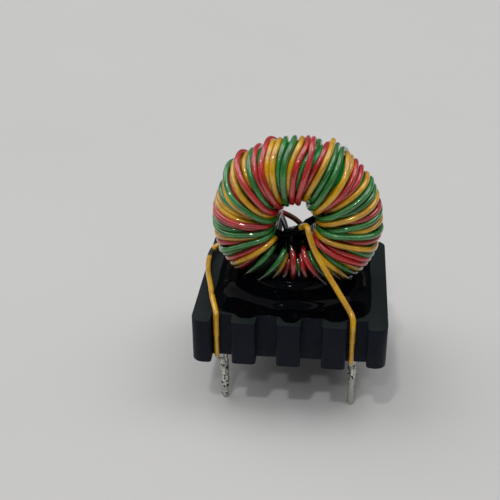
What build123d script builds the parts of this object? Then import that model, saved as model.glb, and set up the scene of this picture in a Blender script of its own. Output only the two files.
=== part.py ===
from build123d import *
import os
from math import cos, radians, sin, sqrt

# Pulse transformer: a trifilar toroid potted upright on a slotted pin header.
# Millimetres. +X right, +Y to the rear, +Z up. The origin lies under the middle of
# the header, on the plane of the pin tips.

# Header
PIN_PITCH = 5.08
SLOTS_PER_SIDE = 4
BASE_WIDTH = 22.0
BASE_DEPTH = 21.0
BASE_HEIGHT = 5.5
BASE_CORNER_R = 1.25
SLOT_WIDTH = 2.35
SLOT_DEPTH = 1.75
TOOTH_EDGE_R = 0.4
CHIP_HEIGHT = 0.47
CHIP_SLOPE = 0.15

# Pins
PIN_D = 0.8
PIN_FREE = 6.85
PIN_ROOT = 3.2
PIN_INSET = 2.88
PIN_TIP_R = 0.28
PIN_ROOT_D = 0.84
FRONT_RIGHT_PIN_SHIFT = -0.3

# Toroid core with its coating
CORE_OD = 18.4
CORE_ID = 8.56
CORE_HEIGHT = 5.1
CORE_OUTER_EDGE_R = 2.0
CORE_INNER_EDGE_R = 1.2
RING_RISE = 8.1
RING_SHIFT_X = 0.2

# Insulated wires
WIRE_D = 0.68
INNER_LAYER_D = 0.58
COPPER_D = 0.3
WIRE_CLEARANCE = 0.03
TURN_PITCH_DEG = 5.25
TURNS_PER_WIRE = 22
FIRST_TURN_DEG = 170.6
COLOURS = ("yellow", "green", "red")

# Layers of wire in the hole: distance in from the first layer and lift off the face
SECOND_LAYER_IN = 0.72
SECOND_LAYER_LIFT = 1.1
THIRD_LAYER_IN = 1.39
THIRD_LAYER_LIFT = 1.3
UPPER_STRAND_LIFT = 0.3
OUTER_BEND_R = 2.4
FIRST_LAYER_BEND_R = 1.4
UPPER_LAYER_BEND_R = 2.2

# Leads, tails and solder
LEAD_WALL_GAP = 0.06
JACKET_CUT_Z = 2.8
LEAD_BEND_R = 0.9
LEFT_LEAD_SHIFT = -0.65
RIGHT_LEAD_SHIFT = -0.5
TAIL_DROP = 0.35
TAIL_MEET = 1.0
TAIL_LENGTH = 2.6
TAIL_BEND_R = 0.3
TAIL_CLEARANCE = 0.02
SOLDER_FILM = 0.05
SOLDER_COLLAR = 0.11
SOLDER_TOP = 1.1
SOLDER_LENGTH = 2.1
SOLDER_LENGTH_FRONT_LEFT = 2.9

# Potting
POCKET_GAP = 0.55
POCKET_LEAD_ROOM = 1.45
POCKET_CORNER_R = 1.0
POTTING_GAP = 0.05
POTTING_SPREAD_X = 8.8
POTTING_SPREAD_Y = 8.3
POTTING_TOP_X = 6.0
POTTING_TOP_Y = 4.95
POTTING_CORNER_R = 3.5
POTTING_SHIFT_X = 0.8
POTTING_SHIFT_Y = -0.3
POTTING_RISE = 3.3
POTTING_STEPS = (0.0, 0.08, 0.25, 0.55, 1.0)
POTTING_CURVE = 3

# Modelling helpers
TOUCH = 0.001
ON_LOW_END = (Align.CENTER, Align.CENTER, Align.MIN)

# Worked out from the sizes above
STAND = PIN_FREE
BASE_TOP = STAND + BASE_HEIGHT
RING_Z = BASE_TOP + RING_RISE
WIRE_R = WIRE_D / 2
PIN_ROW_Y = BASE_DEPTH / 2 - PIN_INSET
SLOT_WALL_Y = BASE_DEPTH / 2 - SLOT_DEPTH
LEAD_Y = SLOT_WALL_Y + WIRE_R + LEAD_WALL_GAP
LEAD_TOP_Z = BASE_TOP + WIRE_R + LEAD_WALL_GAP
RIM_R = CORE_OD / 2 + WIRE_R + WIRE_CLEARANCE
FACE_Y = CORE_HEIGHT / 2 + WIRE_R + WIRE_CLEARANCE
HOLE_R = CORE_ID / 2 - WIRE_R - WIRE_CLEARANCE
POSITIONS = TURNS_PER_WIRE * len(COLOURS)
WOUND_R = RIM_R + WIRE_R
RIM_HALF = FACE_Y + UPPER_STRAND_LIFT + WIRE_R
HOLE_HALF = FACE_Y + THIRD_LAYER_LIFT + WIRE_R
FREE_HOLE_R = HOLE_R - THIRD_LAYER_IN - WIRE_R
POCKET_HALF_X = sqrt(WOUND_R**2 - RING_RISE**2) + POCKET_GAP
POCKET_HALF_Y = RIM_HALF + POCKET_LEAD_ROOM
POCKET_DEPTH = WOUND_R - RING_RISE + POCKET_GAP
TAIL_Y = PIN_ROW_Y + PIN_D / 2 + COPPER_D / 2 + TAIL_CLEARANCE
FRONT = -1
REAR = 1
LAST_SLOT = SLOTS_PER_SIDE - 1


def slot_x(i):
    return (i - (SLOTS_PER_SIDE - 1) / 2) * PIN_PITCH


def ring_point(radius, degrees, y):
    # Degrees run clockwise from the top of the ring, seen from the front.
    turn = radians(degrees)
    return (RING_SHIFT_X + radius * sin(turn), y, RING_Z + radius * cos(turn))


def strand_angle(k):
    return FIRST_TURN_DEG - TURN_PITCH_DEG * k


def hole_corner(k):
    # Every other strand lies on the core, and the rest share two layers above it.
    if k % 2 == 0:
        return HOLE_R, FACE_Y, FIRST_LAYER_BEND_R
    if k % 4 == 1:
        return HOLE_R - SECOND_LAYER_IN, FACE_Y + SECOND_LAYER_LIFT, UPPER_LAYER_BEND_R
    return HOLE_R - THIRD_LAYER_IN, FACE_Y + THIRD_LAYER_LIFT, UPPER_LAYER_BEND_R


def face_lift(k):
    return UPPER_STRAND_LIFT if k % 2 else 0.0


def turn_points(k, first):
    # One turn: over the rim to the front, in to the hole and through it to the back.
    angle = strand_angle(k)
    step = len(COLOURS)
    hole_r, hole_y, bend = hole_corner(k)
    points = []
    if not first:
        points.append((ring_point(RIM_R, angle, FACE_Y + face_lift(k - step)), OUTER_BEND_R))
    points.append((ring_point(RIM_R, angle, -FACE_Y - face_lift(k)), OUTER_BEND_R))
    points.append((ring_point(hole_r, angle, -hole_y), bend))
    points.append((ring_point(hole_r, angle, hole_y), bend))
    return points


def lead_x(slot, side):
    # The two front leads lie off centre in their slots, and the rear ones in the middle.
    if side == REAR:
        return slot_x(slot)
    return slot_x(slot) + (LEFT_LEAD_SHIFT if slot == 0 else RIGHT_LEAD_SHIFT)


def pin_x(slot, side):
    shifted = side == FRONT and slot == LAST_SLOT
    return slot_x(slot) + (FRONT_RIGHT_PIN_SHIFT if shifted else 0.0)


def slot_run(slot, side):
    # From the end of the outer jacket up the slot and over its edge.
    x = lead_x(slot, side)
    foot = (x, side * LEAD_Y, STAND + JACKET_CUT_Z)
    edge = (x, side * LEAD_Y, LEAD_TOP_Z)
    return foot, edge


def yellow_route():
    foot, edge = slot_run(LAST_SLOT, FRONT)
    lead = [
        (foot, 0),
        (edge, LEAD_BEND_R),
        ((RING_SHIFT_X + 4.1, -6.3, RING_Z - 4.15), 3.0),
        ((RING_SHIFT_X + 1.95, -5.1, RING_Z - 0.4), 1.6),
        ((RING_SHIFT_X + 1.7, 0.0, RING_Z + 0.1), 3.0),
        ((RING_SHIFT_X + 1.5, 5.3, RING_Z - 1.3), 1.6),
        ((RING_SHIFT_X + 1.35, 4.9, RING_Z - 6.4), 1.6),
    ]
    foot, edge = slot_run(0, FRONT)
    tail = [
        ((-2.2, 5.4, RING_Z - 4.9), 1.5),
        ((-6.2, 5.5, LEAD_TOP_Z + 0.9), 2.0),
        ((-9.3, 5.6, LEAD_TOP_Z + 0.35), 1.2),
        ((-10.55, 4.2, LEAD_TOP_Z + 0.1), 1.2),
        ((-10.45, 1.6, LEAD_TOP_Z), 4.0),
        ((-9.2, -3.0, LEAD_TOP_Z), 6.0),
        (edge, LEAD_BEND_R),
        (foot, 0),
    ]
    return lead, tail


def green_route():
    foot, edge = slot_run(2, REAR)
    lead = [
        (foot, 0),
        (edge, LEAD_BEND_R),
        ((2.6, 5.3, LEAD_TOP_Z + 0.35), 1.2),
        (ring_point(RIM_R, strand_angle(1), FACE_Y + 0.1), 1.0),
    ]
    foot, edge = slot_run(0, REAR)
    tail = [
        ((-0.6, FACE_Y + 0.15, RING_Z - 6.2), 1.0),
        ((-1.4, 5.2, LEAD_TOP_Z + 0.35), 0.9),
        ((-5.0, 6.6, LEAD_TOP_Z), 2.0),
        (edge, LEAD_BEND_R),
        (foot, 0),
    ]
    return lead, tail


def red_route():
    foot, edge = slot_run(3, REAR)
    lead = [
        (foot, 0),
        (edge, LEAD_BEND_R),
        ((4.3, 5.5, LEAD_TOP_Z + 0.35), 1.2),
        (ring_point(RIM_R, strand_angle(2), FACE_Y + 0.1), 1.3),
    ]
    foot, edge = slot_run(1, REAR)
    tail = [
        ((0.0, FACE_Y + 1.6, RING_Z - 5.6), 1.5),
        ((-0.4, 5.9, LEAD_TOP_Z + 0.2), 1.0),
        (edge, LEAD_BEND_R),
        (foot, 0),
    ]
    return lead, tail


ROUTES = {"yellow": yellow_route, "green": green_route, "red": red_route}


def wire_route(colour):
    lead, tail = ROUTES[colour]()
    start = COLOURS.index(colour)
    route = list(lead)
    for k in range(start, POSITIONS, len(COLOURS)):
        route += turn_points(k, first=k == start and colour != "yellow")
    return route + tail


def tube(route, diameter):
    points = [point for point, bend in route]
    bends = [bend for point, bend in route[1:-1]]
    path = FilletPolyline(*points, radius=bends)
    profile = Plane(origin=path @ 0, z_dir=path % 0) * Circle(diameter / 2)
    return sweep(profile, path=path)


def straight(x, y, low, high, diameter):
    return Pos(x, y, low) * Cylinder(diameter / 2, high - low, align=ON_LOW_END)


def insulated_wire(colour):
    # The outer jacket ends part way down the slot, and a thinner layer goes on to the pin.
    lead, tail = ROUTES[colour]()
    wire = tube(wire_route(colour), WIRE_D)
    for x, y, z in (lead[0][0], tail[-1][0]):
        wire += straight(x, y, STAND, z, INNER_LAYER_D)
    return wire


def toroid_core():
    middle = (CORE_OD + CORE_ID) / 4
    section = Pos(middle, 0) * Rectangle((CORE_OD - CORE_ID) / 2, CORE_HEIGHT)
    section = fillet(section.vertices().sort_by(Axis.X)[-2:], CORE_OUTER_EDGE_R)
    section = fillet(section.vertices().sort_by(Axis.X)[:2], CORE_INNER_EDGE_R)
    return Pos(RING_SHIFT_X, 0, RING_Z) * revolve(section, Axis.Y)


def winding_envelope(gap):
    rim = WOUND_R + gap
    rim_y = RIM_HALF + gap
    hole_y = HOLE_HALF + gap
    outline = Polyline((0, hole_y), (FREE_HOLE_R, hole_y), (rim, rim_y), (rim, -rim_y),
                       (FREE_HOLE_R, -hole_y), (0, -hole_y), close=True)
    section = make_face(outline)
    section = fillet(section.vertices().sort_by(Axis.X)[-2:], OUTER_BEND_R + WIRE_R)
    return Pos(RING_SHIFT_X, 0, RING_Z) * revolve(section, Axis.Y)


def pocket():
    outline = RectangleRounded(2 * POCKET_HALF_X, 2 * POCKET_HALF_Y, POCKET_CORNER_R)
    floor = Pos(RING_SHIFT_X, 0, BASE_TOP - POCKET_DEPTH)
    return floor * extrude(outline, POCKET_DEPTH)


def header_outline():
    outline = RectangleRounded(BASE_WIDTH, BASE_DEPTH, BASE_CORNER_R)
    for side in (FRONT, REAR):
        for i in range(SLOTS_PER_SIDE):
            mouth = Pos(slot_x(i), side * BASE_DEPTH / 2)
            outline -= mouth * Rectangle(SLOT_WIDTH, 2 * SLOT_DEPTH)
    lips = [v for v in outline.vertices() if is_slot_lip(v)]
    return fillet(lips, TOOTH_EDGE_R)


def is_slot_lip(vertex):
    on_face = abs(abs(vertex.Y) - BASE_DEPTH / 2) < TOUCH
    return on_face and abs(vertex.X) < slot_x(LAST_SLOT) + SLOT_WIDTH / 2 + TOUCH


def chip():
    # The front right tooth has lost the bottom of its face.
    left = slot_x(LAST_SLOT) + SLOT_WIDTH / 2 - TOOTH_EDGE_R
    right = BASE_WIDTH / 2 + TOOTH_EDGE_R
    low = STAND - TOOTH_EDGE_R
    broken = Polyline((left, low), (right, low), (right, STAND + CHIP_HEIGHT - CHIP_SLOPE),
                      (left, STAND + CHIP_HEIGHT), close=True)
    face = Plane.XZ.offset(SLOT_WALL_Y) * make_face(broken)
    return extrude(face, 2 * SLOT_DEPTH)


def header(pins):
    block = Pos(0, 0, STAND) * extrude(header_outline(), BASE_HEIGHT)
    block = block - pocket() - chip()
    for pin in pins:
        block -= pin
    return block


def terminal_pin(slot, side, solder_length):
    # Straight where it is bare, then a slight taper up to a thicker root.
    x = pin_x(slot, side)
    y = side * PIN_ROW_Y
    bare = STAND - SOLDER_TOP - solder_length
    pin = straight(x, y, 0, bare, PIN_D)
    pin = fillet(pin.edges().sort_by(Axis.Z)[0], PIN_TIP_R)
    taper = Cone(PIN_D / 2, PIN_ROOT_D / 2, STAND + PIN_ROOT - bare, align=ON_LOW_END)
    return pin + Pos(x, y, bare) * taper


def copper_tail(slot, side):
    # The bare end of the wire comes under the header and lies along its pin.
    lead = lead_x(slot, side)
    pin = pin_x(slot, side)
    route = [
        ((lead, side * LEAD_Y, STAND), 0),
        ((lead, side * LEAD_Y, STAND - TAIL_DROP), TAIL_BEND_R),
        ((pin, side * TAIL_Y, STAND - TAIL_MEET), TAIL_BEND_R),
        ((pin, side * TAIL_Y, STAND - TAIL_LENGTH), 0),
    ]
    return tube(route, COPPER_D)


def solder_joint(slot, side, length, pin, tail):
    # The solder is thin at its lower end and thickens towards the header.
    x = pin_x(slot, side)
    low = STAND - SOLDER_TOP - length
    high = STAND - SOLDER_TOP
    width = COPPER_D + 2 * SOLDER_FILM
    web = TAIL_Y - PIN_ROW_Y
    collar = Cone(PIN_D / 2 + SOLDER_FILM, PIN_D / 2 + SOLDER_COLLAR, length, align=ON_LOW_END)
    joint = Pos(x, side * PIN_ROW_Y, low) * collar
    joint += straight(x, side * TAIL_Y, low, high, width)
    middle = side * (PIN_ROW_Y + TAIL_Y) / 2
    joint += Pos(x, middle, low) * Box(width, web, length, align=ON_LOW_END)
    return joint - pin - tail


def potting(base_pocket):
    # A pool whose top curves up to the winding, let into the pocket under the ring.
    sections = []
    for t in POTTING_STEPS:
        flare = (1 - t) ** POTTING_CURVE
        half_x = POTTING_TOP_X + (POTTING_SPREAD_X - POTTING_TOP_X) * flare
        half_y = POTTING_TOP_Y + (POTTING_SPREAD_Y - POTTING_TOP_Y) * flare
        x = RING_SHIFT_X + (POTTING_SHIFT_X - RING_SHIFT_X) * flare
        outline = RectangleRounded(2 * half_x, 2 * half_y, POTTING_CORNER_R)
        sections.append(Pos(x, POTTING_SHIFT_Y * flare, BASE_TOP + POTTING_RISE * t) * outline)
    pool = loft(sections) + base_pocket - winding_envelope(POTTING_GAP)
    for colour in COLOURS:
        for run in lead_runs(colour):
            pool -= tube(run, WIRE_D + 2 * POTTING_GAP)
    return pool.solids().sort_by(SortBy.VOLUME)[-1]


def lead_runs(colour):
    # The two ends of a wire's route, each with the half turn of the winding beside it.
    lead, tail = ROUTES[colour]()
    route = wire_route(colour)
    half_turn = len(turn_points(0, first=False)) // 2
    return route[:len(lead) + half_turn], route[-len(tail) - half_turn:]


TERMINALS = {
    "front_left": (0, FRONT, SOLDER_LENGTH_FRONT_LEFT),
    "front_right": (LAST_SLOT, FRONT, SOLDER_LENGTH),
    "rear_1": (0, REAR, SOLDER_LENGTH),
    "rear_2": (1, REAR, SOLDER_LENGTH),
    "rear_3": (2, REAR, SOLDER_LENGTH),
    "rear_4": (3, REAR, SOLDER_LENGTH),
}


def build():
    parts = {}
    for name, (slot, side, length) in TERMINALS.items():
        pin = terminal_pin(slot, side, length)
        tail = copper_tail(slot, side)
        parts["pin_" + name] = pin
        parts["copper_tail_" + name] = tail
        parts["solder_" + name] = solder_joint(slot, side, length, pin, tail)
    pins = [parts["pin_" + name] for name in TERMINALS]
    parts["header"] = header(pins)
    parts["toroid_core"] = toroid_core()
    for colour in COLOURS:
        parts[colour + "_wire"] = insulated_wire(colour)
    parts["potting"] = potting(pocket())
    return parts


os.makedirs("parts", exist_ok=True)
for name, solid in build().items():
    export_step(solid, "parts/" + name + ".step")
    print(name, round(solid.volume, 3))
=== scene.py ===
# %% [markdown]
# A pulse transformer on a slotted pin header. Three insulated copper wires, yellow, green and red, are
# wound side by side through a ferrite ring. Black epoxy holds the ring upright on a moulded header, and
# the wires' ends are soldered to the pins under it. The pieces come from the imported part, which is loaded
# here and never moved. This file gives them their finish, and rebuilds the ones whose look needs more than
# their solid has.

# %% Load the frame
import math

import bmesh
import bpy
import numpy as np
from mathutils import Matrix, Vector, noise
from mathutils.kdtree import KDTree


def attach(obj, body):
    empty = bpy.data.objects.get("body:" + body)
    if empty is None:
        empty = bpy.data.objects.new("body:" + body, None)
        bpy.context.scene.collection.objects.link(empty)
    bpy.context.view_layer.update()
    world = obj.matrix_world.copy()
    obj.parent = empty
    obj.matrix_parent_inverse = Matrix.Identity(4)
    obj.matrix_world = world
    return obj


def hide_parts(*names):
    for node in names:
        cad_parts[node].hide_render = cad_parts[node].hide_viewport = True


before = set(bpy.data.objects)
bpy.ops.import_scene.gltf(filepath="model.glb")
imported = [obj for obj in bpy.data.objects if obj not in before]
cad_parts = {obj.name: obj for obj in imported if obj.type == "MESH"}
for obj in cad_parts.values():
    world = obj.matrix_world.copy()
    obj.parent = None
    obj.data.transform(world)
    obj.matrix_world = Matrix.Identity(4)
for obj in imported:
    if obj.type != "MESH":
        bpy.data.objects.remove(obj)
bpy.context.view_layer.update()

# %% [markdown]
# Sizes are written in millimetres, because the real thing is a little over two centimetres across, and are
# turned into metres where a mesh is finished. The pin tips stand on z = 0 and the front is towards -y.

# %% Sizes shared by several pieces
MM = 0.001
PIN_PITCH = 5.08
SLOT_X = [(i - 1.5) * PIN_PITCH for i in range(4)]
STAND = 6.85
BASE_TOP = 12.35
HEADER_HALF_DEPTH = 10.5
SLOT_DEPTH = 1.75
LEAD_Y = 9.15
LEAD_EDGE_Z = 12.75
JACKET_END_Z = 9.65
RING_MIDDLE = np.array([0.2, 0.0, 20.45])
WIRE_D = 0.68
INNER_LAYER_D = 0.58
print("the slots are at x in mm:", SLOT_X)


# %% Small helpers for meshes
def finish_mesh(name, mesh, material):
    """Link a mesh given in millimetres as a piece of the part, in metres."""
    mesh.transform(Matrix.Scale(MM, 4))
    mesh.polygons.foreach_set("use_smooth", [True] * len(mesh.polygons))
    mesh.materials.clear()
    mesh.materials.append(material)
    piece = bpy.data.objects.new(name, mesh)
    bpy.context.scene.collection.objects.link(piece)
    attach(piece, "root")
    print(name, "faces:", len(mesh.polygons))
    return piece


def mesh_from(bm, name):
    """The mesh that was edited, with its faces turned outwards."""
    mesh = bpy.data.meshes.new(name)
    bmesh.ops.recalc_face_normals(bm, faces=bm.faces)
    bm.to_mesh(mesh)
    bm.free()
    return mesh


# %% [markdown]
# The camera stands where the photograph was taken from: about 107 mm from the part's middle, in front and
# above, looking down at about 29 degrees. Its place comes from fitting the header's corners and slots, so
# it is set by its own position and two directions rather than by a target.

# %% Camera
CAMERA_AT = Vector((5.2116, -94.1374, 67.6546)) * MM
CAMERA_LOOKS = Vector((-0.09800, 0.87225, -0.47914))
CAMERA_UP = Vector((-0.04556, 0.47702, 0.87771))
CAMERA_LENS = 65.15
PART_MIDDLE = Vector((0, 0, 18)) * MM

camera_data = bpy.data.cameras.new("camera")
camera_data.lens = CAMERA_LENS
camera_data.sensor_width = 36
camera_data.clip_start = 0.005
camera = bpy.data.objects.new("camera", camera_data)
bpy.context.scene.collection.objects.link(camera)
right = CAMERA_LOOKS.cross(CAMERA_UP).normalized()
up = right.cross(CAMERA_LOOKS).normalized()
turned = Matrix((right, up, -CAMERA_LOOKS.normalized())).transposed().to_4x4()
camera.matrix_world = Matrix.Translation(CAMERA_AT) @ turned
bpy.context.scene.camera = camera
bpy.context.scene.view_settings.view_transform = "Standard"
print("camera distance in mm:", round((CAMERA_AT - PART_MIDDLE).length / MM))

# %% [markdown]
# Light on the real table comes from two small ceiling lamps in front and above, which make the pairs of
# tiny glints on the wires and the teeth's shadow. More comes from a wide window behind on the left, from a
# soft patch high on the right, and from the ceiling. Suns are used for all of them but the ceiling,
# because they light the whole floor evenly. The walls are dim, and that is what the black epoxy mirrors.
# The light on the floor adds up to a plain level, so a colour renders about as it is written.

# %% Lights and world
def sun(name, towards, strength, angle):
    lamp = bpy.data.lights.new(name, "SUN")
    lamp.energy = strength
    lamp.angle = math.radians(angle)
    holder = bpy.data.objects.new(name, lamp)
    holder.rotation_mode = "QUATERNION"
    holder.rotation_quaternion = Vector(towards).to_track_quat("Z", "Y")
    bpy.context.scene.collection.objects.link(holder)


sun("ceiling_lamp_near", (-0.16, -0.39, 0.91), 0.50, 4)
sun("ceiling_lamp_far", (-0.10, -0.67, 0.74), 0.28, 4)
sun("window_behind_left", (-0.60, 0.30, 0.74), 0.85, 60)
sun("patch_high_right", (0.42, 0.12, 0.90), 0.62, 40)

WALL_LIGHT = 0.10
CEILING_LIGHT = 0.72
CEILING_STARTS = 0.35
CEILING_FULL = 0.98


def pale_room():
    """A room whose walls are dim near the table and whose ceiling, straight up at height 1, is bright."""
    world = bpy.data.worlds.new("pale_room")
    world.use_nodes = True
    tree = world.node_tree
    place = tree.nodes.new("ShaderNodeTexCoord")
    split = tree.nodes.new("ShaderNodeSeparateXYZ")
    rise = tree.nodes.new("ShaderNodeMapRange")
    rise.interpolation_type = "SMOOTHSTEP"
    for key, number in (("From Min", CEILING_STARTS), ("From Max", CEILING_FULL),
                        ("To Min", WALL_LIGHT), ("To Max", CEILING_LIGHT)):
        rise.inputs[key].default_value = number
    tree.links.new(place.outputs["Generated"], split.inputs["Vector"])
    tree.links.new(split.outputs["Z"], rise.inputs["Value"])
    tree.links.new(rise.outputs["Result"], tree.nodes["Background"].inputs["Strength"])
    tree.nodes["Background"].inputs["Color"].default_value = (0.98, 0.99, 1.0, 1)
    return world


bpy.context.scene.world = pale_room()


# %% [markdown]
# Every finish is a small node tree on one Principled shader. The helpers below keep each tree short. One
# adds a noise read in object coordinates, one turns a value into a mask, one mixes two colours by a mask,
# and one turns a height into bump. Colours are written as they look on screen, and a shader takes them as
# linear values.

# %% Colours
def linear(level):
    """One channel of a colour on screen, 0 to 255, as the linear value that a shader takes."""
    return level / 255 / 12.92 if level <= 10 else ((level / 255 + 0.055) / 1.055) ** 2.4


def srgb(r, g, b):
    return linear(r), linear(g), linear(b), 1.0


print("mid grey on screen is", round(linear(128), 3), "as a linear value")


# %% Helpers for materials
# A Mix node has sockets for numbers and vectors too, so its colour sockets are picked by their place.
MIX_COLOUR_A = 6
MIX_COLOUR_B = 7
MIX_COLOUR_OUT = 2


class Finish:
    """One material under construction, with its shader and short ways to add nodes."""

    def __init__(self, name):
        self.material = bpy.data.materials.new(name)
        self.material.use_nodes = True
        self.tree = self.material.node_tree
        self.shader = self.tree.nodes["Principled BSDF"]
        self.place = self.tree.nodes.new("ShaderNodeTexCoord").outputs["Object"]

    def link(self, source, target):
        self.tree.links.new(source, target)

    def set(self, **values):
        for key, value in values.items():
            self.shader.inputs[key.replace("_", " ")].default_value = value

    def mirror(self, level):
        """How strongly the surface mirrors the room, where 0.5 is plain plastic or glass."""
        self.shader.inputs["Specular IOR Level"].default_value = level

    def noise(self, per_mm, detail=3.0, roughness=0.5):
        """A soft random pattern with about this many blobs to a millimetre."""
        node = self.tree.nodes.new("ShaderNodeTexNoise")
        node.inputs["Scale"].default_value = per_mm / MM
        node.inputs["Detail"].default_value = detail
        node.inputs["Roughness"].default_value = roughness
        self.link(self.place, node.inputs["Vector"])
        return node.outputs["Fac"]

    def ramp(self, value, low, high, from_value=0.0, to_value=1.0):
        """A value from low to high as a soft step between two others."""
        node = self.tree.nodes.new("ShaderNodeMapRange")
        node.interpolation_type = "SMOOTHSTEP"
        node.inputs["From Min"].default_value = low
        node.inputs["From Max"].default_value = high
        node.inputs["To Min"].default_value = from_value
        node.inputs["To Max"].default_value = to_value
        self.link(value, node.inputs["Value"])
        return node.outputs["Result"]

    def math(self, operation, a, b):
        node = self.tree.nodes.new("ShaderNodeMath")
        node.operation = operation
        for slot, value in zip(node.inputs, (a, b)):
            if isinstance(value, (int, float)):
                slot.default_value = value
            else:
                self.link(value, slot)
        return node.outputs["Value"]

    def place_mm(self, letter):
        """Where a point lies along x, y or z, in millimetres."""
        node = self.tree.nodes.new("ShaderNodeSeparateXYZ")
        self.link(self.place, node.inputs["Vector"])
        return self.math("MULTIPLY", node.outputs[letter], 1 / MM)

    def near(self, middle, reach, fade, wobble):
        """1 within a reach of a point, in millimetres, falling to 0 over a fade."""
        node = self.tree.nodes.new("ShaderNodeVectorMath")
        node.operation = "DISTANCE"
        self.link(self.place, node.inputs[0])
        node.inputs[1].default_value = Vector(middle) * MM
        away = self.math("ADD", self.math("MULTIPLY", node.outputs["Value"], 1 / MM), wobble)
        return self.ramp(away, reach, reach + fade, 1.0, 0.0)

    def blend(self, mask, a, b):
        """Colour a where the mask is 0 and colour b where it is 1."""
        node = self.tree.nodes.new("ShaderNodeMix")
        node.data_type = "RGBA"
        self.link(mask, node.inputs["Factor"])
        for index, value in ((MIX_COLOUR_A, a), (MIX_COLOUR_B, b)):
            if isinstance(value, tuple):
                node.inputs[index].default_value = value
            else:
                self.link(value, node.inputs[index])
        return node.outputs[MIX_COLOUR_OUT]

    def colour(self, source):
        self.link(source, self.shader.inputs["Base Color"])

    def rough(self, source):
        self.link(source, self.shader.inputs["Roughness"])

    def bump(self, height, depth_mm):
        """Add a height to the surface, on top of the bumps that it has."""
        node = self.tree.nodes.new("ShaderNodeBump")
        node.inputs["Strength"].default_value = 1.0
        node.inputs["Distance"].default_value = depth_mm * MM
        self.link(height, node.inputs["Height"])
        normal = self.shader.inputs["Normal"]
        if normal.is_linked:
            self.link(normal.links[0].from_socket, node.inputs["Normal"])
        self.link(node.outputs["Normal"], normal)


# %% [markdown]
# The table is plain pale board with no pattern of its own, so the floor is one large sheet with only a
# faint mottle. It reaches far behind the part, because the camera's upper edge looks almost along it.

# %% Floor
FLOOR_HALF = 1500 * MM

floor_finish = Finish("pale_board")
floor_finish.colour(floor_finish.blend(floor_finish.noise(0.02), srgb(196, 195, 194), srgb(201, 200, 199)))
floor_finish.set(Roughness=0.9)
floor_finish.mirror(0.1)
bm = bmesh.new()
bmesh.ops.create_grid(bm, x_segments=4, y_segments=4, size=FLOOR_HALF)
floor_mesh = bpy.data.meshes.new("floor")
bm.to_mesh(floor_mesh)
bm.free()
floor_mesh.materials.append(floor_finish.material)
floor = bpy.data.objects.new("floor", floor_mesh)
bpy.context.scene.collection.objects.link(floor)
print("floor:", len(floor_mesh.polygons), "faces")


# %% [markdown]
# The header is moulded in a dark blue-black plastic with a dull, slightly grainy skin. Its top is painted a
# little lighter and greener than its face, as painted light from above, so the colour is mixed by the way a
# face points. The moulded edges are softly rounded, which the solid's are not, so a copy of the solid is
# merged, cleared of its flat triangles and given a fine bevel.

# %% Header plastic
def header_plastic():
    finish = Finish("header_plastic")
    faces = finish.tree.nodes.new("ShaderNodeNewGeometry").outputs["Normal"]
    split = finish.tree.nodes.new("ShaderNodeSeparateXYZ")
    finish.link(faces, split.inputs["Vector"])
    # Painted light: faces that point up get a lighter, greener colour, as if lit from above.
    top = finish.ramp(split.outputs["Z"], 0.3, 0.9)
    grain = finish.noise(3.0, detail=6, roughness=0.65)
    cloud = finish.noise(0.35, detail=3)
    side = finish.blend(cloud, srgb(5, 11, 23), srgb(11, 18, 33))
    # The lit top's colour is painted light from above, not the plastic's own colour.
    painted_lit_top = finish.blend(cloud, srgb(13, 21, 22), srgb(23, 32, 32))
    colour = finish.blend(top, side, painted_lit_top)
    specks = finish.ramp(finish.noise(6.0, detail=2), 0.70, 0.78, 0.0, 0.2)
    finish.colour(finish.blend(specks, colour, srgb(70, 82, 90)))
    finish.mirror(0.16)
    finish.rough(finish.ramp(grain, 0.3, 0.7, 0.42, 0.62))
    finish.bump(grain, 0.02)
    finish.bump(cloud, 0.05)
    return finish.material


# %% Header moulding
HEADER_EDGE = 0.16
SAME_POINT = 0.0005


def header_moulding():
    bm = bmesh.new()
    bm.from_mesh(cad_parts["header"].data)
    bmesh.ops.scale(bm, vec=(1 / MM,) * 3, verts=bm.verts)
    bmesh.ops.remove_doubles(bm, verts=bm.verts, dist=SAME_POINT)
    bmesh.ops.dissolve_limit(bm, angle_limit=math.radians(1), verts=bm.verts, edges=bm.edges)
    mesh = mesh_from(bm, "header_moulding")
    piece = finish_mesh("header_moulding", mesh, header_plastic())
    soften = piece.modifiers.new("moulded_edges", "BEVEL")
    soften.width = HEADER_EDGE * MM
    soften.segments = 3
    soften.limit_method = "ANGLE"
    soften.angle_limit = math.radians(35)
    soften.harden_normals = True
    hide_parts("header")


header_moulding()


# %% [markdown]
# The ferrite ring has a bright green coating, seen only through gaps in the winding. The solid's own shape
# is right, so it only gets a finish: a strong green, a little uneven, with a soft gloss, and black where
# the epoxy has run between the turns at the bottom.

# %% Core coating
CORE_RESIN_LINE = 17.6
CORE_RESIN_FADE = 0.8


def core_coating():
    finish = Finish("core_coating")
    cloud = finish.noise(0.8, detail=4)
    green = finish.blend(cloud, srgb(0, 146, 60), srgb(8, 182, 88))
    drowned = finish.ramp(finish.place_mm("Z"), CORE_RESIN_LINE, CORE_RESIN_LINE + CORE_RESIN_FADE, 1.0, 0.0)
    finish.colour(finish.blend(drowned, green, srgb(3, 5, 5)))
    finish.set(Roughness=0.35)
    finish.bump(cloud, 0.03)
    return finish.material


def give_finish(node, material):
    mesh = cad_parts[node].data
    mesh.materials.clear()
    mesh.materials.append(material)
    print(node, "gets", material.name)


give_finish("toroid_core", core_coating())
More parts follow.
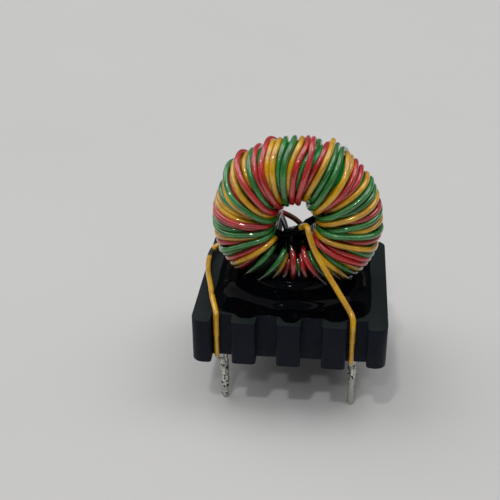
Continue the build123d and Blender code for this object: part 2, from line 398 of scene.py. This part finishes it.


# %% [markdown]
# The three windings make the look of this part. On the real one each turn was laid over the last, and the
# turns lean, cross and pile up in the hole. A formula for a regular coil would look like a spring, and
# free drawing would let the wires cut through each other. So each turn is listed, as the angles where it
# crosses the rim, the front face and the lip of the hole, with how high it lies. Then all turns are
# pressed together much as real wire is: for a set number of rounds they are pulled tight, kept on the
# core and pushed off each other.

# %% The turns of each wire
# Each turn is rim, face, hole and height. The first three are degrees clockwise from the top, seen from the
# front. The last red turn crosses the hole slantwise, so its fifth number is where it leaves at the back.
RED_TURNS = (
    (166, 167, 170, 0.2), (146, 152, 163, 0.5), (121, 119, 121, 0.3), (117, 113.5, 117, 0.2),
    (97, 100, 103, 0.0), (76, 79, 76, 0.0), (47, 51, 51, 0.0), (41, 47, 50, 0.5),
    (19.5, 14, 8, 0.0), (10, 9, 0, 0.8), (7, -2, -9, 0.4), (-22, -31, -37, 0.5),
    (-31, -38, -44, 0.3), (-43, -46, -54, 1.3), (-52, -60, -67, 0.5), (-80, -82, -80, 0.4),
    (-83, -87, -87, 0.2), (-107, -103.5, -102, 0.0), (-122, -118, -117, 0.2), (-131, -129, -125, 0.0),
    (-166, -168, -172, 0.3), (-176, -178, -181, 0.6, -125),
)
GREEN_TURNS = (
    (175, 175, 176, 0.0), (148, 148, 155, 0.2), (132, 127.5, 130, 0.1), (113, 110, 112, 0.0),
    (93, 93, 91, 0.7), (79, 83, 87, 0.3), (64, 67.5, 67, 0.1), (58, 61, 64, 0.8),
    (29, 31, 34, 0.6), (25, 25.5, 26, 0.3), (11.5, 3, -4, 0.0), (-3, -12, -20, 0.7),
    (-9, -17, -26, 0.1), (-34, -40.5, -47, 0.2), (-52, -65, -73, 1.0), (-66, -71, -76, 0.3),
    (-89, -92.5, -92, 0.2), (-92, -97, -98, 0.4), (-114, -109, -104, 0.7), (-118, -114, -112, 0.0),
    (-141, -137, -136, 0.3), (-147, -149, -158, 0.7),
)
YELLOW_TURNS = (
    (141, 140.5, 142, 0.0), (138, 133.5, 137, 0.6), (127, 124, 126, 0.0), (107, 104, 106, 0.5),
    (85, 90, 84, 0.0), (68, 73, 72, 0.6), (54, 55, 55, 0.1), (35, 41, 45, 0.7),
    (37, 40.5, 41, 0.0), (20.5, 20, 12, 0.6), (2, -7, -13, 0.1), (-13, -21, -31, 0.6),
    (-18, -27, -34, 0.1), (-38, -41, -48, 0.0), (-44, -50, -59, 0.0), (-46, -56, -69, 0.9),
    (-56, -67, -73, 0.8), (-72, -76.5, -78, 0.0), (-76, -79, -83, 0.1), (-101, -100.5, -103, 0.1),
    (-128, -122.5, -121, 0.4), (-156, -158, -165, 0.4),
)
TURNS = {"yellow": YELLOW_TURNS, "green": GREEN_TURNS, "red": RED_TURNS}
print("turns:", {colour: len(turns) for colour, turns in TURNS.items()})

# %% [markdown]
# The leads are the wires' ends. The front pair is yellow. One comes out of the hole and runs down to the
# right slot, and the other comes from behind the ring along the header's left edge and runs down the left
# slot. Green and red end at the four rear pins. Each route is a few points in millimetres, made smooth by
# a spline.

# %% Routes of the leads
LEFT_LEAD_X = SLOT_X[0] - 0.65
RIGHT_LEAD_X = SLOT_X[3] - 0.5


def down_slot(x, side):
    """The last stretch of a lead: over the header's edge and down its slot to the underside."""
    y = side * LEAD_Y
    heights = (LEAD_EDGE_Z - 0.9, JACKET_END_Z + 1.2, JACKET_END_Z + 0.1, JACKET_END_Z - 0.1, 8.2,
               STAND + 0.4, STAND)
    return [(x, y - side * 0.35, LEAD_EDGE_Z - 0.12)] + [(x, y, z) for z in heights]


YELLOW_IN = down_slot(RIGHT_LEAD_X, -1)[::-1] + [
    (6.7, -8.2, 13.25), (4.9, -6.9, 15.6), (3.2, -5.9, 18.0), (2.3, -5.5, 19.6), (1.75, -5.0, 21.2),
    (1.5, -4.2, 21.75), (0.9, -3.0, 20.85), (0.1, -1.7, 19.85), (-0.9, -0.3, 18.9), (-1.5, 1.0, 17.9),
    (-1.2, 3.2, 17.2), (-0.2, 4.9, 15.9), (1.2, 4.8, 14.2)]
YELLOW_OUT = [
    (-2.2, 5.2, 15.3), (-5.0, 5.8, 14.3), (-8.0, 6.4, 13.4), (-10.2, 6.4, 13.05), (-10.8, 5.0, 12.9),
    (-10.85, 3.0, 12.85), (-10.75, 1.6, 12.78), (-10.35, -0.8, 12.78), (-9.75, -3.1, 12.86),
    (-9.1, -6.2, 12.84)] + down_slot(LEFT_LEAD_X, -1)
GREEN_IN = down_slot(SLOT_X[2], 1)[::-1] + [(2.55, 7.4, 12.85), (2.6, 5.9, 13.1), (2.2, 4.0, 12.6)]
GREEN_OUT = [
    (-0.8, 3.9, 14.6), (-1.6, 4.9, 13.4), (-3.6, 6.0, 12.85), (-6.2, 7.4, 12.75)] + down_slot(SLOT_X[0], 1)
RED_IN = down_slot(SLOT_X[3], 1)[::-1] + [(6.6, 7.6, 12.85), (5.0, 6.0, 13.1), (3.9, 4.4, 12.7)]
RED_OUT = [
    (-2.2, 3.6, 19.5), (-0.9, 4.6, 18.5), (0.5, 4.75, 17.3), (1.3, 5.1, 15.6), (0.6, 6.0, 13.4),
    (-1.5, 7.2, 12.8)] + down_slot(SLOT_X[1], 1)
LEADS = {"yellow": (YELLOW_IN, YELLOW_OUT), "green": (GREEN_IN, GREEN_OUT), "red": (RED_IN, RED_OUT)}


# %% Smooth lines
LINE_RESOLUTION = 6


def smooth_line(points):
    """Points along a smooth spline that has the given points as its control points."""
    curve = bpy.data.curves.new("line", "CURVE")
    curve.dimensions = "3D"
    curve.resolution_u = LINE_RESOLUTION
    spline = curve.splines.new("NURBS")
    spline.points.add(len(points) - 1)
    for target, point in zip(spline.points, points):
        target.co = (*point, 1)
    spline.order_u = 3
    spline.use_endpoint_u = True
    holder = bpy.data.objects.new("line", curve)
    mesh = bpy.data.meshes.new_from_object(holder)
    line = np.array([v.co for v in mesh.vertices])
    bpy.data.objects.remove(holder)
    bpy.data.meshes.remove(mesh)
    bpy.data.curves.remove(curve)
    return line


print("yellow lead in:", len(smooth_line(YELLOW_IN)), "points")

# %% [markdown]
# One turn goes round the core's section: over the rim, down the front face, through the hole and back up
# behind. The section that a wire follows is rounder than the core, because stiff wire bulges off its
# flats. The hole has room for only half of the turns side by side, so there they lie in three layers: of
# each three neighbours, the one drawn highest lies on top. They pile up most on the lower right, where the
# lead passes.

# %% Lay out the turns
SECTION_MIDDLE = 6.74
SECTION_HALF = 2.84
SECTION_DEPTH = 3.2
SECTION_SQUARENESS = 2.7
POINTS_PER_TURN = 44
LAST_TURN_POINTS = 26
STEPS_DRAWN = 97
# Where along a turn, in degrees from the rim, the angles and the lifts off the core are set.
ROUTE_SET_AT = (0, 15, 80, 140, 200, 345, 360)
LIFT_SET_AT = (0, 30, 80, 140, 220, 300, 360)
LIFT_AT_RIM = 0.4
LIFT_PAST_RIM = 0.5
LIFT_AT_FACE = 0.65
LIFT_BEHIND = 0.3
HOLE_LAYERS = (0.0, 0.7, 1.35)
PILE_SIDE = 135
PILE_EXTRA = 0.25


def even(points, count):
    """The same line with count points, evenly spaced."""
    steps = np.linalg.norm(np.diff(points, axis=0), axis=1)
    along = np.concatenate([[0], np.cumsum(steps)])
    wanted = np.linspace(0, along[-1], count)
    return np.stack([np.interp(wanted, along, points[:, i]) for i in range(3)], 1)


def hole_lifts():
    """How far off the core each turn lies in the hole, by its colour and number."""
    turns = [(turn[2], turn[3], colour, i) for colour in TURNS for i, turn in enumerate(TURNS[colour])]
    turns.sort()
    lifts = {}
    for start in range(0, len(turns), len(HOLE_LAYERS)):
        neighbours = sorted(turns[start:start + len(HOLE_LAYERS)], key=lambda turn: turn[1])
        for lift, (hole, height, colour, i) in zip(HOLE_LAYERS, neighbours):
            extra = PILE_EXTRA * (1 - math.cos(math.radians(hole - PILE_SIDE + 180)))
            lifts[colour, i] = lift + extra * lift / HOLE_LAYERS[-1]
    return lifts


def turn_line(turn, next_turn, hole_lift):
    """One turn from the rim at the front, through the hole, to the rim where the next turn starts."""
    rim, face, hole, height = turn[:4]
    behind = turn[-1] if len(turn) > 4 else hole
    next_rim, next_height = next_turn[0], next_turn[3]
    phi = np.linspace(0, 2 * np.pi, STEPS_DRAWN)
    degrees = np.interp(phi, np.radians(ROUTE_SET_AT), [rim, rim, face, hole, behind, next_rim, next_rim])
    lifts_set = [LIFT_AT_RIM * height, LIFT_PAST_RIM * height, LIFT_AT_FACE * height, hole_lift, hole_lift,
                 LIFT_BEHIND * height, LIFT_AT_RIM * next_height]
    lift = np.interp(phi, np.radians(LIFT_SET_AT), lifts_set)
    c, s = np.cos(phi), np.sin(phi)
    power = 2 / SECTION_SQUARENESS
    out = SECTION_MIDDLE + (SECTION_HALF + lift) * np.sign(c) * np.abs(c) ** power
    y = -(SECTION_DEPTH + lift) * np.sign(s) * np.abs(s) ** power
    turn_angle = np.radians(degrees)
    line = np.stack([out * np.sin(turn_angle), y, out * np.cos(turn_angle)], 1) + RING_MIDDLE
    return even(line, POINTS_PER_TURN + 1)[:-1]


def winding_line(colour, lifts):
    """All turns of one wire. The last one ends where it has just come through the hole."""
    turns = TURNS[colour]
    lines = []
    for i, (turn, after) in enumerate(zip(turns, turns[1:] + turns[-1:])):
        lines.append(turn_line(turn, after, lifts[colour, i]))
    lines[-1] = lines[-1][:LAST_TURN_POINTS]
    return np.concatenate(lines)


lifts = hole_lifts()
drawn = {colour: winding_line(colour, lifts) for colour in TURNS}
print("points laid out:", sum(len(line) for line in drawn.values()))

# %% [markdown]
# Settling is done on points, half a millimetre apart. Each round tightens the lines a little, holds them
# near where they were drawn, pushes apart any two points of different turns that are nearer than a wire's
# thickness, and keeps all of them outside the core and inside the winding's real size. The pairs to push
# are looked up again every few rounds, because that takes most of the time. Only points are compared, so
# wires that cross between their points can still cut through each other. That happens in a few places in
# the hole and behind the ring, and the overlap printed below doesn't show it.

# %% Settle the turns
CORE_OUT = 9.2
CORE_IN = 4.28
CORE_HALF = 2.55
CORE_OUTER_EDGE_R = 2.0
CORE_INNER_EDGE_R = 1.2
TOUCHING = WIRE_D + 0.01
RIM_LIMIT = 10.15
FREE_HOLE_LIMIT = 1.95
FACE_LIMIT = 4.45
ROUNDS = 160
ROUNDS_PER_LOOKUP = 8
PUSHES_PER_ROUND = 2
TIGHTEN = 0.22
HOLD = 0.03
PUSH = 1.3
LOOK_AROUND = TOUCHING * 1.35
OVERLAP_SEEN = 0.6


def off_core(points):
    """Move points that are nearer to the core than half a wire out to its surface."""
    local = points - RING_MIDDLE
    out = np.hypot(local[:, 0], local[:, 2])
    y = local[:, 1]
    middle = (CORE_OUT + CORE_IN) / 2
    edge = np.where(out > middle, CORE_OUTER_EDGE_R, CORE_INNER_EDGE_R)
    half = (CORE_OUT - CORE_IN) / 2
    dx = np.abs(out - middle) - (half - edge)
    dy = np.abs(y) - (CORE_HALF - edge)
    outside = np.hypot(np.maximum(dx, 0), np.maximum(dy, 0))
    distance = outside + np.minimum(np.maximum(dx, dy), 0) - edge
    need = np.maximum(WIRE_D / 2 - distance, 0)
    nx = np.where(outside > 0, np.maximum(dx, 0) / np.maximum(outside, 1e-9), (dx > dy) * 1.0)
    ny = np.where(outside > 0, np.maximum(dy, 0) / np.maximum(outside, 1e-9), (dx <= dy) * 1.0)
    new_out = out + need * nx * np.sign(out - middle)
    new_y = y + need * ny * np.where(y == 0, 1, np.sign(y))
    new_out = np.clip(new_out, FREE_HOLE_LIMIT, RIM_LIMIT)
    new_y = np.clip(new_y, -FACE_LIMIT, FACE_LIMIT)
    scale = new_out / np.maximum(out, 1e-9)
    return np.stack([local[:, 0] * scale, new_y, local[:, 2] * scale], 1) + RING_MIDDLE


# %% Pairs of points to push apart
def near_pairs(points, wire_of):
    """Points nearer than LOOK_AROUND on different wires, or a third of a turn or more apart on one wire."""
    tree = KDTree(len(points))
    for i, point in enumerate(points):
        tree.insert(point, i)
    tree.balance()
    pairs = []
    for i, point in enumerate(points):
        for _, j, _ in tree.find_range(point, LOOK_AROUND):
            if j > i and (wire_of[i] != wire_of[j] or j - i > POINTS_PER_TURN // 3):
                pairs.append((i, j))
    return np.array(pairs)


# %% Press the turns together
def settle(lines):
    names = list(lines)
    sizes = [len(lines[name]) for name in names]
    points = np.concatenate([lines[name] for name in names])
    wire_of = np.repeat(range(len(names)), sizes)
    ends = np.cumsum([0] + sizes)
    target = points.copy()
    for round_number in range(ROUNDS):
        if round_number % ROUNDS_PER_LOOKUP == 0:
            pairs = near_pairs(points, wire_of)
            first, second = pairs[:, 0], pairs[:, 1]
        for start, end in zip(ends[:-1], ends[1:]):
            line = points[start:end]
            line[1:-1] += TIGHTEN * ((line[:-2] + line[2:]) / 2 - line[1:-1])
        points += HOLD * (target - points)
        for _ in range(PUSHES_PER_ROUND):
            gap = points[second] - points[first]
            distance = np.linalg.norm(gap, axis=1)
            press = np.maximum(TOUCHING - distance, 0) / 2
            push = gap / np.maximum(distance, 1e-6)[:, None] * press[:, None]
            move = np.zeros_like(points)
            count = np.zeros(len(points))
            np.add.at(move, second, push)
            np.add.at(move, first, -push)
            np.add.at(count, second, press > 0)
            np.add.at(count, first, press > 0)
            points += PUSH * move / np.maximum(count, 1)[:, None]
            points = off_core(points)
    gap = np.linalg.norm(points[second] - points[first], axis=1)
    print("settled; deepest overlap of two points in mm:", round(float((WIRE_D - gap).max()), 3),
          "pairs of points overlapping visibly:", int((gap < OVERLAP_SEEN).sum()))
    return {name: points[start:end] for name, start, end in zip(names, ends[:-1], ends[1:])}


wound = settle(drawn)


# %% [markdown]
# The insulation is a glossy coloured skin over the copper, with a faint unevenness where it was drawn and
# bent, and fine pale flecks of painted sheen. Near the header black epoxy has crept up between the turns,
# so the colour is drowned in it there. A mask turns the skin black and glassy low on the winding and in the
# bottom of the hole. The same mask also turns one spot of the left lead black and glassy. The strand behind
# the hole is painted brown for the shade that falls on it there; that painted shade has a mask of its own.

# %% Wire insulation
RESIN_LINE = 14.4
RESIN_FADE = 2.2
RESIN_HALF = (8.9, 5.6)
RESIN_SIDE_FADE = 0.3
LIP_MIDDLE = (-0.4, -0.2, 19.0)
LIP_REACH = 2.5
LIP_FADE = 1.0
# A spot on the left lead that the mask also makes black and glassy.
LEAD_DARK_SPOT_MIDDLE = (-10.9, 4.1, 12.9)
LEAD_DARK_SPOT_REACH = 0.5
LEAD_DARK_SPOT_FADE = 0.7
# Painted shade: around this point behind the hole the wires are painted brown, standing in for shade.
SHADE_BEHIND_HOLE_MIDDLE = (-0.3, 4.6, 18.0)
SHADE_BEHIND_HOLE_REACH = 1.6
SHADE_BEHIND_HOLE_FADE = 0.8


def resin_mask(finish, wobble):
    """1 where the skin is drowned in epoxy, and at one spot of the left lead. The wobble makes the mask's
    edge uneven.
    """
    level = finish.math("ADD", finish.place_mm("Z"), wobble)
    low = finish.ramp(level, RESIN_LINE, RESIN_LINE + RESIN_FADE, 1.0, 0.0)
    for letter, half in zip("XY", RESIN_HALF):
        off_middle = finish.math("ABSOLUTE", finish.place_mm(letter), 0.0)
        low = finish.math("MULTIPLY", low, finish.ramp(off_middle, half, half + RESIN_SIDE_FADE, 1.0, 0.0))
    resin = finish.math("MAXIMUM", low, finish.near(LIP_MIDDLE, LIP_REACH, LIP_FADE, wobble))
    return finish.math("MAXIMUM", resin, finish.near(LEAD_DARK_SPOT_MIDDLE, LEAD_DARK_SPOT_REACH, LEAD_DARK_SPOT_FADE, wobble))


def insulation(name, deep, main, painted_sheen):
    finish = Finish(name)
    cloud = finish.noise(0.5, detail=3)
    fine = finish.noise(4.0, detail=2)
    shade = finish.blend(finish.ramp(cloud, 0.3, 0.7), deep, main)
    # Painted sheen: fine flecks blended towards a paler colour stand in for sheen and tiny glints.
    skin = finish.blend(finish.ramp(fine, 0.55, 0.75, 0.0, 0.5), shade, painted_sheen)
    wobble = finish.math("MULTIPLY", finish.math("SUBTRACT", finish.noise(0.6, detail=4), 0.5), 2.0)
    # Painted shade: brown near the point behind the hole stands in for shade on the wire.
    painted_shade_behind_hole = finish.near(SHADE_BEHIND_HOLE_MIDDLE, SHADE_BEHIND_HOLE_REACH, SHADE_BEHIND_HOLE_FADE, wobble)
    skin = finish.blend(painted_shade_behind_hole, skin, srgb(104, 72, 50))
    resin = resin_mask(finish, wobble)
    finish.colour(finish.blend(resin, skin, srgb(4, 6, 6)))
    finish.rough(finish.ramp(resin, 0.0, 1.0, 0.3, 0.12))
    finish.mirror(0.2)
    finish.set(Coat_Weight=1.0, Coat_Roughness=0.04, Coat_IOR=1.8)
    finish.bump(cloud, 0.02)
    finish.bump(fine, 0.004)
    return finish.material


# The third colour of each wire is its painted sheen.
INSULATION = {
    "yellow": insulation("yellow_insulation", srgb(190, 134, 0), srgb(226, 172, 6), srgb(240, 198, 70)),
    "green": insulation("green_insulation", srgb(22, 98, 34), srgb(44, 132, 56), srgb(92, 166, 104)),
    "red": insulation("red_insulation", srgb(160, 18, 22), srgb(196, 40, 42), srgb(218, 92, 92)),
}


# %% [markdown]
# Each wire is one tube from pin to pin: its lead in, its settled turns and its lead out. It could be swept
# by hand, ring by ring, but a curve with a round bevel gives a clean tube by itself, and its points can be
# thinner where the outer jacket ends in the slot.

# %% Wires
TUBE_STEPS = 4
INNER_SHARE = INNER_LAYER_D / WIRE_D


def wire(colour):
    """One wire as a tube along its whole line."""
    lead_in, lead_out = LEADS[colour]
    line = np.concatenate([smooth_line(lead_in), wound[colour], smooth_line(lead_out)])
    curve = bpy.data.curves.new(colour, "CURVE")
    curve.dimensions = "3D"
    curve.bevel_depth = WIRE_D / 2
    curve.bevel_resolution = TUBE_STEPS
    curve.use_fill_caps = True
    curve.resolution_u = 2
    spline = curve.splines.new("NURBS")
    spline.points.add(len(line) - 1)
    for target, point in zip(spline.points, line):
        target.co = (*point, 1)
        target.radius = INNER_SHARE if point[2] < JACKET_END_Z else 1.0
    spline.order_u = 4
    spline.use_endpoint_u = True
    holder = bpy.data.objects.new(colour, curve)
    mesh = bpy.data.meshes.new_from_object(holder)
    bpy.data.objects.remove(holder)
    piece = finish_mesh(colour + "_winding", mesh, INSULATION[colour])
    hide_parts(colour + "_wire")


for colour in TURNS:
    wire(colour)

# %% [markdown]
# The epoxy is a black glassy pool. It wets the winding and the header, so its top is a hollow curve that
# climbs the wires and thins out over the header. It is built as a stack of rounded outlines, each a loop
# of edges, bridged from the pocket's floor up to the winding. Noise makes them uneven, as the epoxy set
# unevenly, and at the front it runs out over three teeth. Some was poured through the hole too, and lies
# there as a mound that leans up to the right, with a coated strand across its front.

# %% Epoxy finish
def black_epoxy():
    finish = Finish("black_epoxy")
    finish.set(Base_Color=srgb(2, 3, 5), Roughness=0.06)
    finish.mirror(0.03)
    finish.bump(finish.noise(0.4, detail=2), 0.05)
    finish.bump(finish.noise(1.6, detail=2), 0.004)
    return finish.material


# %% Outlines of the pool
POOL_STAGES = (
    # half width, half depth, squareness of the outline, height above the header
    (9.20, 8.74, 7.0, -0.02), (9.10, 8.66, 6.5, 0.06), (8.85, 8.35, 5.0, 0.09), (8.60, 7.75, 3.4, 0.12),
    (8.42, 7.35, 2.6, 0.24), (8.30, 7.12, 2.3, 0.48), (8.15, 6.92, 2.1, 0.76), (7.85, 6.55, 2.0, 0.96),
    (7.30, 5.90, 2.0, 1.08), (6.70, 5.20, 2.0, 1.22), (6.20, 4.60, 2.0, 1.50), (5.90, 4.25, 2.0, 2.00),
)
POCKET_HALF = (6.26, 5.01)
POCKET_SQUARENESS = 12.0
POCKET_FLOOR = BASE_TOP - 2.36
POOL_LOOPS = 44
POOL_SMOOTHING = 14
POOL_POINTS = 240


def pool_outline(half_x, half_y, squareness, z):
    """Points round an outline between an ellipse and a rectangle."""
    angle = np.linspace(0, 2 * np.pi, POOL_POINTS, endpoint=False)
    c, s = np.cos(angle), np.sin(angle)
    away = (np.abs(c / half_x) ** squareness + np.abs(s / half_y) ** squareness) ** (-1 / squareness)
    return np.stack([away * c, away * s, np.full(POOL_POINTS, z)], 1)


def smooth_stages():
    """The stages as many small steps with their corners smoothed, and how far along the stages each is."""
    stages = np.array(POOL_STAGES)
    places = np.linspace(0, len(stages) - 1, POOL_LOOPS)
    smooth = np.stack([np.interp(places, range(len(stages)), stages[:, i]) for i in range(4)], 1)
    for _ in range(POOL_SMOOTHING):
        smooth[1:-1] = (smooth[:-2] + 2 * smooth[1:-1] + smooth[2:]) / 4
    return places, smooth


print("pool outlines:", POOL_LOOPS, "of", POOL_POINTS, "points")


# %% Loops of edges, bridged to a closed skin
def ring_of(bm, points):
    verts = [bm.verts.new(point) for point in points]
    return [bm.edges.new((verts[i], verts[(i + 1) % len(verts)])) for i in range(len(verts))]


def closed_skin(bm, loops):
    """Bridge each loop to the next and close both ends."""
    for low, high in zip(loops[:-1], loops[1:]):
        bmesh.ops.bridge_loops(bm, edges=low + high)
    bmesh.ops.contextual_create(bm, geom=loops[0])
    bmesh.ops.contextual_create(bm, geom=loops[-1])


# %% Pool, mound and coated strand
DRIPS = (
    # middle, half width and reach over a tooth
    (0.15, 1.0, 1.3), (-5.0, 1.1, 0.75), (5.2, 1.0, 0.6),
)
DRIP_STAGES = 4
WAVY_STAGES = (1, 8)
EDGE_WAVES = 0.4
EDGE_WAVE_DEPTH = 0.3
STRAIGHT_EDGE_DEPTH = 0.12
TOP_WAVES = 0.3
TOP_WAVE_DEPTH = 0.12
FRONT_LIMIT = -HEADER_HALF_DEPTH + SLOT_DEPTH + 0.01
BRIDGE = ((2.4, -0.8, 21.0), (1.9, -2.2, 21.35), (1.0, -2.6, 20.75), (0.2, -2.7, 20.15), (-0.7, -2.6, 19.6),
          (-1.6, -2.2, 19.3), (-2.4, -1.0, 19.2))
BRIDGE_HALF = 0.42
BRIDGE_LUMPS = 0.35
BRIDGE_WAVES = 1.3
BRIDGE_POINTS = 16
MOUND_MIDDLE = (0.2, 0.5, 16.95)
MOUND_HALF = (3.1, 3.1, 1.85)
MOUND_LEAN = 0.28
MOUND_LUMPS = 0.12
MOUND_WAVES = 1.7


def drip_at(x):
    """How far the epoxy runs out to the front at a place along the header's width."""
    return sum(reach * math.exp(-((x - middle) / half) ** 4) for middle, half, reach in DRIPS)


def pool_loops(bm):
    loops = [ring_of(bm, pool_outline(*POCKET_HALF, POCKET_SQUARENESS, POCKET_FLOOR)),
             ring_of(bm, pool_outline(*POCKET_HALF, POCKET_SQUARENESS, BASE_TOP - 0.02))]
    for place, (half_x, half_y, squareness, height) in zip(*smooth_stages()):
        loop = pool_outline(half_x, half_y, squareness, BASE_TOP + height)
        thin = max(0.0, 1 - place / DRIP_STAGES)
        wavy = WAVY_STAGES[0] < place < WAVY_STAGES[1]
        for point in loop:
            spot = Vector((point[0], point[1], 5.0))
            edge = noise.noise(spot * EDGE_WAVES) * (EDGE_WAVE_DEPTH if wavy else STRAIGHT_EDGE_DEPTH)
            away = Vector((point[0], point[1], 0)).normalized()
            point[0] += away.x * edge
            point[1] = max(point[1] + away.y * edge, FRONT_LIMIT)
            point[2] += noise.noise(spot * TOP_WAVES) * TOP_WAVE_DEPTH * min(1.0, max(height, 0.0))
            if point[1] < 0:
                point[1] -= thin * drip_at(point[0])
        loops.append(ring_of(bm, loop))
    return loops


def add_mound(bm):
    for vert in bmesh.ops.create_icosphere(bm, subdivisions=5, radius=1.0)["verts"]:
        lump = 1 + MOUND_LUMPS * noise.noise(vert.co * MOUND_WAVES)
        x, y, z = (vert.co[i] * MOUND_HALF[i] * lump for i in range(3))
        vert.co = Vector((x, y, z + MOUND_LEAN * x)) + Vector(MOUND_MIDDLE)


def strand_loops(bm):
    loops = []
    line = smooth_line(BRIDGE)
    angles = np.linspace(0, 2 * np.pi, BRIDGE_POINTS, endpoint=False)
    for place, point in enumerate(line):
        ahead = Vector(line[min(place + 1, len(line) - 1)] - line[max(place - 1, 0)]).normalized()
        side = ahead.cross(Vector((0, 1, 0))).normalized()
        up = side.cross(ahead)
        half = BRIDGE_HALF * (1 + BRIDGE_LUMPS * noise.noise(Vector(point) * BRIDGE_WAVES))
        around = [half * (math.cos(angle) * side + math.sin(angle) * up) for angle in angles]
        loops.append(ring_of(bm, [Vector(point) + offset for offset in around]))
    return loops


def epoxy_pool():
    bm = bmesh.new()
    closed_skin(bm, pool_loops(bm))
    add_mound(bm)
    closed_skin(bm, strand_loops(bm))
    piece = finish_mesh("epoxy_pool", mesh_from(bm, "epoxy_pool"), black_epoxy())
    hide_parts("potting")


epoxy_pool()


# %% [markdown]
# The pins are tinned and dull. The solder that joins the wire's bare end to a pin is rough and pitted, and
# on the front left pin it runs nearly to the tip. The pins and the bare ends keep their solids, and only
# get a finish: tin with a soft cloud in its shine, and dark pits, deepest on the solder.

# %% Tin and solder
def tinned_metal(name, grey, pits, depth):
    finish = Finish(name)
    cloud = finish.noise(1.2, detail=4)
    pitted = finish.ramp(finish.noise(2.6, detail=3), 0.52, 0.6, 0.0, pits)
    bright = finish.blend(cloud, srgb(grey - 26, grey - 28, grey - 36), srgb(grey, grey - 2, grey - 10))
    finish.colour(finish.blend(pitted, bright, srgb(38, 36, 32)))
    finish.set(Metallic=0.95)
    finish.rough(finish.ramp(cloud, 0.3, 0.7, 0.2, 0.38))
    finish.bump(cloud, depth)
    return finish.material


PIN_METAL = tinned_metal("tinned_pin", 206, 0.1, 0.02)
TAIL_METAL = tinned_metal("tinned_copper", 200, 0.3, 0.03)
SOLDER_METAL = tinned_metal("solder", 226, 1.0, 0.16)
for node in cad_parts:
    if node.startswith("pin_"):
        give_finish(node, PIN_METAL)
    if node.startswith("copper_tail_"):
        give_finish(node, TAIL_METAL)

# %% [markdown]
# The solder is rebuilt as a lumpy sleeve round the pin and the wire beside it. Each row of points is a
# circle that bulges where the wire lies, is pushed in and out by noise, and closes in on the pin at both
# ends.

# %% Solder sleeves
PIN_Y = 7.62
PIN_SKIN_R = 0.41
SOLDER_R = 0.47
SOLDER_TOP = STAND - 1.1
SOLDER_LENGTH = 2.1
LONG_SOLDER_LENGTH = 5.3
TAIL_OFFSET = 0.57
TAIL_SOLDER_R = 0.22
TAIL_END = STAND - 3.3
SLEEVE_ROW = 0.07
SLEEVE_POINTS = 32
SLEEVE_LUMPS = 0.09
LUMP_WAVES = 1.7
LUMP_WAVES_ALONG = 1.6
TAIL_SIDE = 0.3
END_STEEPNESS = 6
END_OPEN = 0.02
FRONT_RIGHT_SHIFT = -0.3


def sleeve_reach(direction, side, z):
    """How far the solder reaches from the pin's axis, with the wire's end inside it."""
    toward = direction.y * side
    across = TAIL_OFFSET * abs(direction.x)
    if toward > TAIL_SIDE and z > TAIL_END and across < TAIL_SOLDER_R:
        return max(SOLDER_R, TAIL_OFFSET * toward + math.sqrt(TAIL_SOLDER_R ** 2 - across ** 2))
    return SOLDER_R


def solder_sleeve(name, x, side, length, seed):
    bm = bmesh.new()
    rows = int(length / SLEEVE_ROW)
    loops = []
    for row in range(rows + 1):
        share = row / rows
        z = SOLDER_TOP - length * share
        end = min(1.0, END_STEEPNESS * min(share + END_OPEN, 1 + END_OPEN - share))
        loop = []
        for i in range(SLEEVE_POINTS):
            angle = 2 * math.pi * i / SLEEVE_POINTS
            direction = Vector((math.cos(angle), math.sin(angle), 0))
            spot = Vector((direction.x, direction.y, z * LUMP_WAVES_ALONG + seed)) * LUMP_WAVES
            reach = sleeve_reach(direction, side, z) + noise.noise(spot) * SLEEVE_LUMPS
            reach = PIN_SKIN_R + (reach - PIN_SKIN_R) * end
            loop.append((x + direction.x * reach, side * PIN_Y + direction.y * reach, z))
        loops.append(ring_of(bm, loop))
    closed_skin(bm, loops)
    piece = finish_mesh("solder_sleeve_" + name, mesh_from(bm, name), SOLDER_METAL)
    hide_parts("solder_" + name)


solder_sleeve("front_left", SLOT_X[0], -1, LONG_SOLDER_LENGTH, 1.0)
solder_sleeve("front_right", SLOT_X[3] + FRONT_RIGHT_SHIFT, -1, SOLDER_LENGTH, 7.0)
for i, x in enumerate(SLOT_X):
    solder_sleeve("rear_" + str(i + 1), x, 1, SOLDER_LENGTH, 13.0 + 5 * i)
